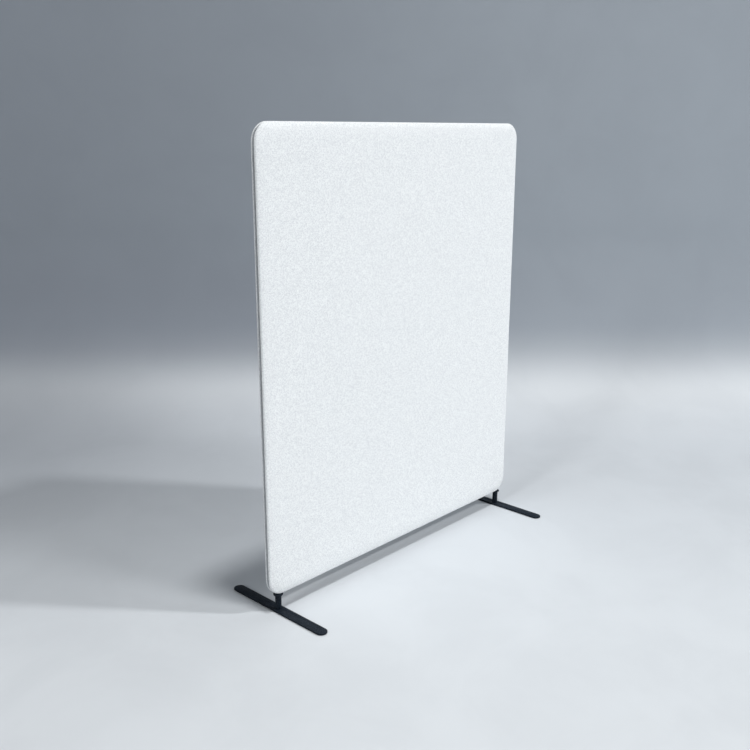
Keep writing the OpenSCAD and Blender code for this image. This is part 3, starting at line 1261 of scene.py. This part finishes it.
@dataclass
class Cover(Assembly):
    """One felt cover: its face, round, soft roll and lip, pulled over the wadding and sewn on.

    Attributes:
        side: The side that it covers.
        cell: Size of its faces, in metres.
        slack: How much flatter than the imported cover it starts, in metres.
        cap: How far the wadding may press it out, in metres.
        pressure: The wadding's pressure on the cloth.
        mass: Mass of each of the cloth's points, in kilograms.
        stiffness: The cloth's stiffness, ten times its stiffness in bending.
        frames: Frames that the cloth takes to settle.
        pucker: Depth of the puckers, in metres.
        stitch: Length of a stitch, in metres.
        stitch_pitch: Distance from stitch to stitch, in metres.
        stitch_lean: Lean of the stitches, in degrees.
        thread: Radius of the sewing thread, in metres.
    """

    side: Side
    cell: float = 0.012
    slack: float = 0.0008
    cap: float = 0.0011
    pressure: float = 4.0
    mass: float = 0.4
    stiffness: float = 40.0
    frames: int = 20
    pucker: float = 0.00018
    stitch: float = 0.0026
    stitch_pitch: float = 0.0034
    stitch_lean: float = 8.0
    thread: float = 0.00045

    def shell(self) -> BMesh:
        """Builds the cover's outside as one open sheet of four-sided faces.

        Returns:
            The sheet, with its outside towards the room.
        """
        bm = bmesh.new()
        sweep = EdgeSweep(Tour.WHOLE, self.cell)
        face_y = PANEL.thickness / 2 - self.slack
        middle = sweep.start
        line = SectionLine(bm, middle + Vector((0, -face_y, 0)))
        line.round_off(middle, (3, 8, 8), 90.0, self.slack)
        line.bend(middle + Vector((PANEL.corner - PANEL.roll, -PANEL.roll_y, 0)), 90.0, 6)
        line.run(Vector((PANEL.roll - PANEL.lip_depth, 0, 0)), 2)
        sweep.take(bm)
        fill_face(bm, self.cell, -face_y)
        return bm

    def unevenness(self, point: Vector) -> float:
        """How much fuller or leaner the wadding is at a point.

        Args:
            point: A point of the cover.

        Returns:
            A share from 0.4 to 1.
        """
        seed = Vector((0.0, 7.0 * self.side.value, 0.0))
        place = Vector((point.x, 0, point.z))
        broad = noise.noise(place * 5.0 + seed)
        close = noise.noise(place * 21.0 + seed)
        return min(1.0, max(0.4, 0.75 + 0.3 * broad + 0.12 * close))

    def press(self, piece: Piece) -> None:
        """Lets the wadding press the cover out as a held cloth, with its movement capped.

        Args:
            piece: The cover's sheet.
        """
        mesh = piece.data
        start = [vertex.co.copy() for vertex in mesh.vertices]
        held = [vertex.index for vertex in mesh.vertices if abs(vertex.co.y) <= PANEL.roll_y + 1e-4]
        piece.vertex_groups.new(name="held").add(held, 1.0, "REPLACE")
        cloth = piece.modifiers.new("cloth", "CLOTH")
        facts = {"quality": 4, "mass": self.mass, "tension_stiffness": self.stiffness,
                 "compression_stiffness": self.stiffness, "bending_stiffness": self.stiffness / 10,
                 "vertex_group_mass": "held", "use_pressure": True,
                 "uniform_pressure_force": self.pressure}
        for name, value in facts.items():
            setattr(cloth.settings, name, value)
        cloth.settings.effector_weights.gravity = 0.0
        cloth.collision_settings.use_collision = False
        scene = bpy.context.scene
        for number in range(1, self.frames + 1):
            scene.frame_set(number)
        pressed = piece.evaluated_get(bpy.context.evaluated_depsgraph_get()).data
        moved = [vertex.co - start[vertex.index] for vertex in pressed.vertices]
        piece.modifiers.remove(cloth)
        scene.frame_set(1)
        for vertex, first, by in zip(mesh.vertices, start, moved):
            allowed = self.cap * self.unevenness(first)
            if by.length > allowed:
                by = by * (allowed / by.length)
            vertex.co = first + by
        piece.vertex_groups.clear()

    def gather(self, piece: Piece) -> None:
        """Puckers the round and the roll a little, where the stitches pull the felt in.

        Args:
            piece: The cover's sheet.
        """
        lip_y = PANEL.groove / 2 + 0.0004
        for vertex in piece.data.vertices:
            depth = PANEL.thickness / 2 - abs(vertex.co.y)
            share = min(1.0, max(0.0, depth / (PANEL.edge * 0.9)))
            if share <= 0.0 or abs(vertex.co.y) < lip_y:
                continue
            run = along_edge(vertex.co)
            wave = noise.noise(Vector((run * 60.0, self.side.value * 3.0, 0.5)))
            wave += 0.6 * noise.noise(Vector((run * 170.0, self.side.value * 5.0, 1.5)))
            vertex.co -= vertex.normal * self.pucker * share * (0.5 + 0.5 * wave)

    def stitches(self) -> Piece:
        """Builds the row of stitches that holds the lip to the tape.

        Returns:
            The stitches as one piece.
        """
        bm = bmesh.new()
        sweep = EdgeSweep(Tour.WHOLE, self.stitch_pitch)
        place = sweep.start + Vector((PANEL.corner - (PANEL.roll + PANEL.lip_depth) / 2,
                                      self.side.value * (PANEL.groove / 2 - self.thread * 0.3), 0))
        shape = (Matrix.Translation(place) @ Matrix.Rotation(math.radians(self.stitch_lean), 4, "X")
                 @ Matrix.Diagonal((self.thread, self.thread, self.stitch / 2, 1.0)))
        bmesh.ops.create_icosphere(bm, subdivisions=1, radius=1.0, matrix=shape)
        return as_object(sweep.repeat(bm, PANEL.corner), f"{self.side.word}_lip_stitches", 180.0)

    def build(self) -> None:
        """Builds the cover and its stitches, and dresses them."""
        bm = self.shell()
        open_for_feet(bm)
        cover = side_sheet(bm, self.side, f"{self.side.word}_felt")
        self.press(cover)
        self.gather(cover)
        thicken(cover, PANEL.cover)
        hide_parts(f"{self.side.word}_cover")
        self.keep(cover, FELT)
        stitches = self.keep(self.stitches(), FELT)
        PANEL.width + 2 * PANEL.around
        PANEL.height + 2 * PANEL.around


@dataclass
class Filling(Assembly):
    """What lies inside the covers: a fleece under each, and an absorbent slab in each bay.

    Attributes:
        slack: Room between the fleece and its cover, in metres.
        cell: Size of the fleece's faces, in metres.
        last_angle: Angle from the face at which the fleece's round ends, in degrees.
        rounding: Radius of a slab's eased edges, in metres.
        dent: Mean depth of a slab's dents, in metres.
        cells_across: Faces along a slab.
        cells_up: Faces up a slab.
    """

    slack: float = 0.001
    cell: float = 0.02
    last_angle: float = 78.0
    rounding: float = 0.003
    dent: float = 0.0004
    cells_across: int = 24
    cells_up: int = 14

    def fleece(self, side: Side) -> None:
        """Builds the wadding under a cover: its face and its round.

        Args:
            side: The side that it lies on.
        """
        bm = bmesh.new()
        sweep = EdgeSweep(Tour.WHOLE, self.cell)
        face_y = PANEL.thickness / 2 - (PANEL.cover + self.slack)
        line = SectionLine(bm, sweep.start + Vector((0, -face_y, 0)))
        line.round_off(sweep.start, (2, 5, 4), self.last_angle)
        sweep.take(bm)
        fill_face(bm, self.cell, -face_y)
        piece = side_sheet(bm, side, f"{side.word}_fleece")
        thicken(piece, PANEL.wadding - self.slack)
        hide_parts(f"{side.word}_wadding")
        self.keep(piece, WADDING)

    def slab(self, node: str) -> None:
        """Builds an absorbent slab, with its edges eased and its faces a little uneven.

        Args:
            node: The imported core.
        """
        low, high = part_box(node)
        middle, size = (low + high) / 2, high - low
        bm = bmesh.new()
        bmesh.ops.create_cube(bm, size=1.0, matrix=Matrix.Translation(middle)
                              @ Matrix.Diagonal((*size, 1.0)))
        bmesh.ops.bevel(bm, geom=list(bm.edges), offset=self.rounding, segments=3, profile=0.5,
                        affect="EDGES", material=-1)
        for way, length, count in ((RIGHT, size.x, self.cells_across), (UP, size.z, self.cells_up)):
            for number in range(1, count):
                divide(bm, low + way * length * number / count, way)
        for vertex in bm.verts:
            out = vertex.co.y - middle.y
            if abs(out) > size.y / 2 - 1e-5:
                vertex.co.y -= math.copysign(self.dent * (1 + noise.noise(vertex.co * 17.0)), out)
        piece = as_object(bm, f"{node}_slab", ROUND_SMOOTH)
        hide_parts(node)
        self.keep(piece, ABSORBER)

    def build(self) -> None:
        """Builds the wadding and the slabs."""
        for side in Side:
            self.fleece(side)
        for node in ("upper_core", "lower_core"):
            self.slab(node)


class EdgeSeam(Assembly):
    """The tape sewn behind the lips under the panel and round its lower corners."""

    def build(self) -> None:
        """Builds the tape, open for the feet's spigots, and dresses it."""
        tape = edge_tape("seam_binding", Tour.SEAM, -PANEL.lips / 2, PANEL.lips, 6)
        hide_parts("bottom_seam")
        self.keep(tape, SEAM_TAPE)


@dataclass
class EdgeZip(Assembly):
    """The zip round the edge: two tapes, two rows of coil hooked together, stops, slider, pull.

    Attributes:
        coil_gap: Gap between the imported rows, in metres, as all sizes here.
        row: Width of a packed row.
        row_thick: Thickness of a row.
        pitch: Distance from turn to turn of the coil.
        reach: How far a turn's head hooks past the middle.
        head: Factors of a head's thickness, length and width.
        stop: Height of the end stops.
        stop_edge: Radius of the end stops' edges.
        slider_edge: Radius of the slider's edges.
        pull_edge: Radius of the pull's edges.
    """

    coil_gap: float = 0.0012
    row: float = 0.0021
    row_thick: float = 0.002
    pitch: float = 0.0016
    reach: float = 0.00043
    head: Triple = (0.8, 1.0, 1.25)
    stop: float = 0.003
    stop_edge: float = 0.0004
    slider_edge: float = 0.00012
    pull_edge: float = 0.00015

    @property
    def coil(self) -> float:
        """Width over both rows of coil."""
        return 2 * self.row + self.coil_gap

    def tape(self, side: Side) -> None:
        """Builds the tape that carries one row.

        Args:
            side: The side that it is sewn to.
        """
        inner, outer = side.value * self.coil / 2, side.value * PANEL.lips / 2
        piece = edge_tape(f"{side.word}_tape_weave", Tour.ZIP, inner, outer - inner, 2)
        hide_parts(f"{side.word}_zip_tape")
        self.keep(piece, ZIP_TAPE)

    def row_of_coil(self, side: Side) -> None:
        """Builds one row: a turn of the coil every pitch, whose head hooks past the middle.

        Args:
            side: The side that the row is on.
        """
        bm = bmesh.new()
        sweep = EdgeSweep(Tour.ZIP, self.pitch)
        outer, inner = self.coil / 2, -self.reach
        middle = sweep.start + Vector((PANEL.corner - PANEL.zip_depth,
                                       side.value * (outer + inner) / 2, 0))
        place = (Matrix.Translation(middle) @ Matrix.Rotation(math.pi / 2, 4, "X")
                 @ Matrix.Diagonal((self.row_thick * 0.5, self.pitch * 0.3, outer - inner, 1.0)))
        bmesh.ops.create_cone(bm, cap_ends=True, segments=8, radius1=1.0, radius2=1.0, depth=1.0,
                              matrix=place)
        head = [vertex for vertex in bm.verts if vertex.co.y * side.value < middle.y * side.value]
        bmesh.ops.scale(bm, verts=head, vec=self.head, space=Matrix.Translation(-middle))
        row = sweep.repeat(bm, PANEL.corner - PANEL.zip_depth)
        half_turns = 1 if side is Side.FRONT else 2
        low = PANEL.zip_low + self.stop + half_turns * self.pitch / 2
        below = []
        for face in row.faces:
            centre = face.calc_center_median()
            if centre.z < low and abs(centre.x) > PANEL.corner_x:
                below.append(face)
        bmesh.ops.delete(row, geom=below, context="FACES")
        piece = as_object(row, f"{side.word}_coil_row", ROUND_SMOOTH)
        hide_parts(f"{side.word}_zip_coil")
        self.keep(piece, ZIP_COIL)

    def build(self) -> None:
        """Builds the zip and dresses it."""
        for side in Side:
            self.tape(side)
            self.row_of_coil(side)
        self.keep(softened("zip_end_stops", "coil_end_stops", self.stop_edge), ZIP_METAL)
        self.keep(softened("zip_slider", "slider_body", self.slider_edge, 1), ZIP_METAL, "slider")
        self.keep(softened("zip_pull", "slider_pull", self.pull_edge), ZIP_METAL, "pull")


class TimberFrame(Assembly):
    """The frame under the upholstery: rails and stiles, corner blocks and dowels."""

    def build(self) -> None:
        """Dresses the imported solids, whose shapes are right as they are."""
        finishes = {
            RAIL_TIMBER: ("top_rail", "bottom_rail", "middle_rail"),
            STILE_TIMBER: ("left_stile", "right_stile"),
            BLOCK_BOARD: ("top_left_block", "top_right_block", "bottom_left_block",
                          "bottom_right_block"),
            DOWEL_WOOD: ("frame_dowels",),
        }
        for finish, nodes in finishes.items():
            for node in nodes:
                finish.dress(frame["nodes"][node])


@dataclass
class Foot(Assembly):
    """One foot: bar, post, collar, pads, and the bolt and insert that hold it.

    Attributes:
        hand: The end of the panel that it carries.
        edge: Radius of the post's and collar's edges, in metres.
        bar_edge: Radius of the bar's edges, in metres.
        room: Room between the post's top and the collar, in metres.
    """

    hand: Hand
    edge: float = 0.0002
    bar_edge: float = 0.0003
    room: float = 0.00005

    def coated(self, part: str, radius: float, body: str) -> Piece:
        """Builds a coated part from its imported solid, with the coat's soft edges.

        Args:
            part: The part's name without its hand.
            radius: Radius of its edges.
            body: The body that it rides on.

        Returns:
            The piece.
        """
        piece = softened(f"{self.hand.word}_{part}", f"{self.hand.word}_coated_{part}", radius)
        return self.keep(piece, BLACK_COATING, body)

    def leave_room(self, post: Piece) -> None:
        """Lowers the post's top face by a hair, so that it turns free of the collar.

        Args:
            post: The coated post.
        """
        top = max(vertex.co.z for vertex in post.data.vertices)
        for vertex in post.data.vertices:
            if vertex.co.z > top - self.room:
                vertex.co.z -= self.room

    def build(self) -> None:
        """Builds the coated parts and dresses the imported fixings."""
        word = self.hand.word
        self.leave_room(self.coated("post", self.edge, f"{word}_foot"))
        self.coated("foot_bar", self.bar_edge, f"{word}_foot")
        self.coated("collar", self.edge, "panel")
        for finish, part in ((PAD_RUBBER, "foot_pads"), (BOLT_STEEL, "bolt"),
                             (INSERT_METAL, "insert")):
            finish.dress(frame["nodes"][f"{word}_{part}"])


@dataclass(frozen=True)
class Lamp:
    """One soft lamp of the studio."""

    name: str
    place: Triple
    aim: Triple
    size: float
    watts: float

    def hang(self) -> None:
        """Makes the lamp, a disc that the camera doesn't see."""
        light = bpy.data.lights.new(self.name, "AREA")
        light.shape = "DISK"
        light.size = self.size
        light.energy = self.watts
        lamp = bpy.data.objects.new(self.name, light)
        bpy.context.scene.collection.objects.link(lamp)
        lamp.location = self.place
        lamp.rotation_mode = "QUATERNION"
        lamp.rotation_quaternion = (Vector(self.aim) - Vector(self.place)).to_track_quat("-Z", "Y")
        lamp.visible_camera = False


@dataclass
class Studio:
    """Pale floor that sweeps up into a blue-grey backdrop, soft lamps and the camera."""

    camera_place: Triple = (-2.160, -1.902, 1.4134)
    yaw: float = math.radians(43.12)
    pitch: float = math.radians(15.16)
    lens: float = 43.17
    sensor: float = 36.0
    floor_run: float = 4.0
    sweep: float = 0.9
    wall: float = 3.2
    half_width: float = 7.0
    floor_back: float = 6.0
    near_colour: Colour = (0.68, 0.713, 0.742)
    # Painted light and shade: the far floor is darker, the band lighter, and the dark colour shades the
    # left and the bend as well as giving the faint random mottling.
    far_colour: Colour = (0.58, 0.613, 0.645)
    band_colour: Colour = (0.62, 0.652, 0.68)
    wall_colour: Colour = (0.355, 0.395, 0.44)
    dark_colour: Colour = (0.12, 0.135, 0.165)
    room_colour: Colour = (0.64, 0.66, 0.68)
    room_light: float = 0.13
    lamps: tuple[Lamp, ...] = (
        Lamp("key_lamp", (10.43, -13.85, 14.1), (0.0, 0.0, 0.6), 1.5, 1980.0),
        Lamp("front_lamp", (4.48, -16.7, 7.6), (0.0, 0.0, 0.6), 5.0, 1100.0),
        Lamp("top_lamp", (-0.3, -4.2, 20.0), (0.0, 0.0, 0.0), 2.4, 1620.0),
        Lamp("side_lamp", (-11.5, -1.2, 6.5), (0.0, 0.0, 0.6), 2.4, 400.0),
    )

    @property
    def stand(self) -> Triple:
        """The place on the floor under the camera."""
        return (*self.camera_place[:2], 0.0)

    def set_camera(self) -> None:
        """Puts the camera where the photograph was taken from."""
        camera = bpy.data.objects.new("camera", bpy.data.cameras.new("camera"))
        bpy.context.scene.collection.objects.link(camera)
        camera.data.sensor_width = self.sensor
        camera.data.lens = self.lens
        camera.location = self.camera_place
        aim = Vector((math.cos(self.yaw) * math.cos(self.pitch),
                      math.sin(self.yaw) * math.cos(self.pitch), -math.sin(self.pitch)))
        camera.rotation_mode = "QUATERNION"
        camera.rotation_quaternion = aim.to_track_quat("-Z", "Y")
        bpy.context.scene.camera = camera

    def backdrop(self) -> Piece:
        """Builds the floor and wall as one swept sheet, square to the camera's view.

        Returns:
            The sheet.
        """
        bm = bmesh.new()
        line = SectionLine(bm, Vector((-self.floor_back, 0, 0)))
        line.run(Vector((self.floor_back + self.floor_run, 0, 0)))
        line.bend(Vector((self.floor_run, self.sweep, 0)), 90.0, 32)
        line.run(Vector((0, self.wall, 0)))
        upright = Matrix.Rotation(math.pi / 2, 4, "X")
        bmesh.ops.transform(bm, verts=bm.verts,
                            matrix=Matrix.Translation((0, self.half_width, 0)) @ upright)
        bmesh.ops.spin(bm, geom=whole(bm), axis=UP, angle=0.0, steps=1,
                       dvec=(0, -2 * self.half_width, 0))
        bmesh.ops.transform(bm, verts=bm.verts, matrix=Matrix.Translation(self.stand)
                            @ Matrix.Rotation(self.yaw, 4, "Z"))
        bmesh.ops.recalc_face_normals(bm, faces=bm.faces)
        floor_face = min(bm.faces, key=lambda face: face.calc_center_median().z)
        if floor_face.normal.z < 0:
            bmesh.ops.reverse_faces(bm, faces=bm.faces)
        return as_object(bm, "floor_and_backdrop")

    def paper_colour(self, nodes: Nodes, place: NodeSocket) -> NodeSocket:
        """Draws the backdrop's colour: pale below, blue-grey above, with painted shade ahead, at its
        left and in its bend, and a painted lighter band at its foot.

        Args:
            nodes: The material's tree.
            place: The place on the sheet from under the camera, with X straight ahead of it.

        Returns:
            The colour.
        """
        run = nodes.feed(nodes.add("SeparateXYZ"), Vector=place).outputs
        ahead, left, up = run["X"], run["Y"], run["Z"]
        # Painted shade: the floor turns darker further ahead, where the lamps' light falls off.
        colour = nodes.blend(nodes.spread(ahead, 1.6, 3.8), self.near_colour, self.far_colour)
        # Painted light: a lighter band where the floor turns up into the bend.
        colour = nodes.blend(nodes.spread(up, 0.02, 0.12), colour, self.band_colour)
        # Painted shade: the floor darker towards the left and the back.
        aside_shade = nodes.times(nodes.spread(left, -0.2, 1.9, 0.0, 0.5),
                            nodes.spread(ahead, 2.2, 4.0, 0.12, 1.0))
        colour = nodes.blend(aside_shade, colour, self.dark_colour)
        # Painted shade: the wall darker towards its left.
        wall = nodes.blend(nodes.spread(left, -1.6, 2.2, 0.05, 0.47), self.wall_colour,
                           self.dark_colour)
        colour = nodes.blend(nodes.spread(up, 0.10, 0.43), colour, wall)
        # Painted shade: the bend's curve is darkened, deepest at the left, against the light that it
        # catches from above.
        bend = nodes.times(nodes.spread(up, 0.12, 0.32, 0.0, 0.42),
                           nodes.spread(up, 0.5, 1.0, 1.0, 0.0))
        bend = nodes.times(bend, nodes.spread(left, -1.2, 1.0, 0.6, 1.0))
        colour = nodes.blend(bend, colour, self.dark_colour)
        smudge = nodes.noise(place, 2.6, 5.0, 0.6, 0.4)
        return nodes.blend(nodes.spread(smudge, 0.35, 0.7, 0.0, 0.06), colour, self.dark_colour)

    def paper(self) -> bpy.types.Material:
        """Makes the backdrop's material, which is clear from behind.

        Returns:
            The material.
        """
        material = bpy.data.materials.new("studio_paper")
        material.use_nodes = True
        nodes = Nodes(material.node_tree)
        turned = nodes.feed(nodes.add("Mapping", vector_type="TEXTURE"), Vector=nodes.here(),
                            Location=self.stand, Rotation=(0, 0, self.yaw))
        shader = nodes.feed(nodes.add("BsdfPrincipled"), Roughness=0.85,
                            Base_Color=self.paper_colour(nodes, turned.outputs["Vector"]))
        clear = nodes.add("BsdfTransparent")
        behind = nodes.add("NewGeometry").outputs["Backfacing"]
        mixed = nodes.feed(nodes.add("MixShader"), behind, shader.outputs["BSDF"],
                           clear.outputs["BSDF"])
        nodes.show(mixed.outputs["Shader"])
        return material

    def light_the_room(self) -> None:
        """Hangs the lamps, and sets the room's even light and what the camera sees of it."""
        for lamp in self.lamps:
            lamp.hang()
        world = bpy.data.worlds.new("room")
        bpy.context.scene.world = world
        world.use_nodes = True
        nodes = Nodes(world.node_tree)
        even, seen = [nodes.feed(nodes.add("Background"), colour, strength).outputs["Background"]
                      for colour, strength in ((self.room_colour, self.room_light),
                                               (self.wall_colour, 1.0))]
        by_camera = nodes.add("LightPath").outputs["Is Camera Ray"]
        mixed = nodes.feed(nodes.add("MixShader"), by_camera, even, seen)
        nodes.show(mixed.outputs["Shader"], "OutputWorld")

    def build(self) -> None:
        """Builds the studio."""
        bpy.context.scene.view_settings.view_transform = "Standard"
        self.set_camera()
        sheet = self.backdrop()
        sheet.data.materials.append(self.paper())
        self.light_the_room()


def main() -> None:
    """Builds the studio and the screen in order, and reports each new piece."""
    logging.basicConfig(level=logging.INFO, format="%(name)s: %(message)s")
    Studio().build()
    parts = [TimberFrame(), Filling(), *[Cover(side) for side in Side], EdgeSeam(), EdgeZip(),
             *[Foot(hand) for hand in Hand]]
    for part in parts:
        part.build()
        LOG.info("%s is built", type(part).__name__)
        for piece in part.pieces:
            LOG.info("%s rides on %s: %d triangles", piece.name, piece.get("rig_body"),
                     triangles(piece))


if __name__ == "__main__":
    main()
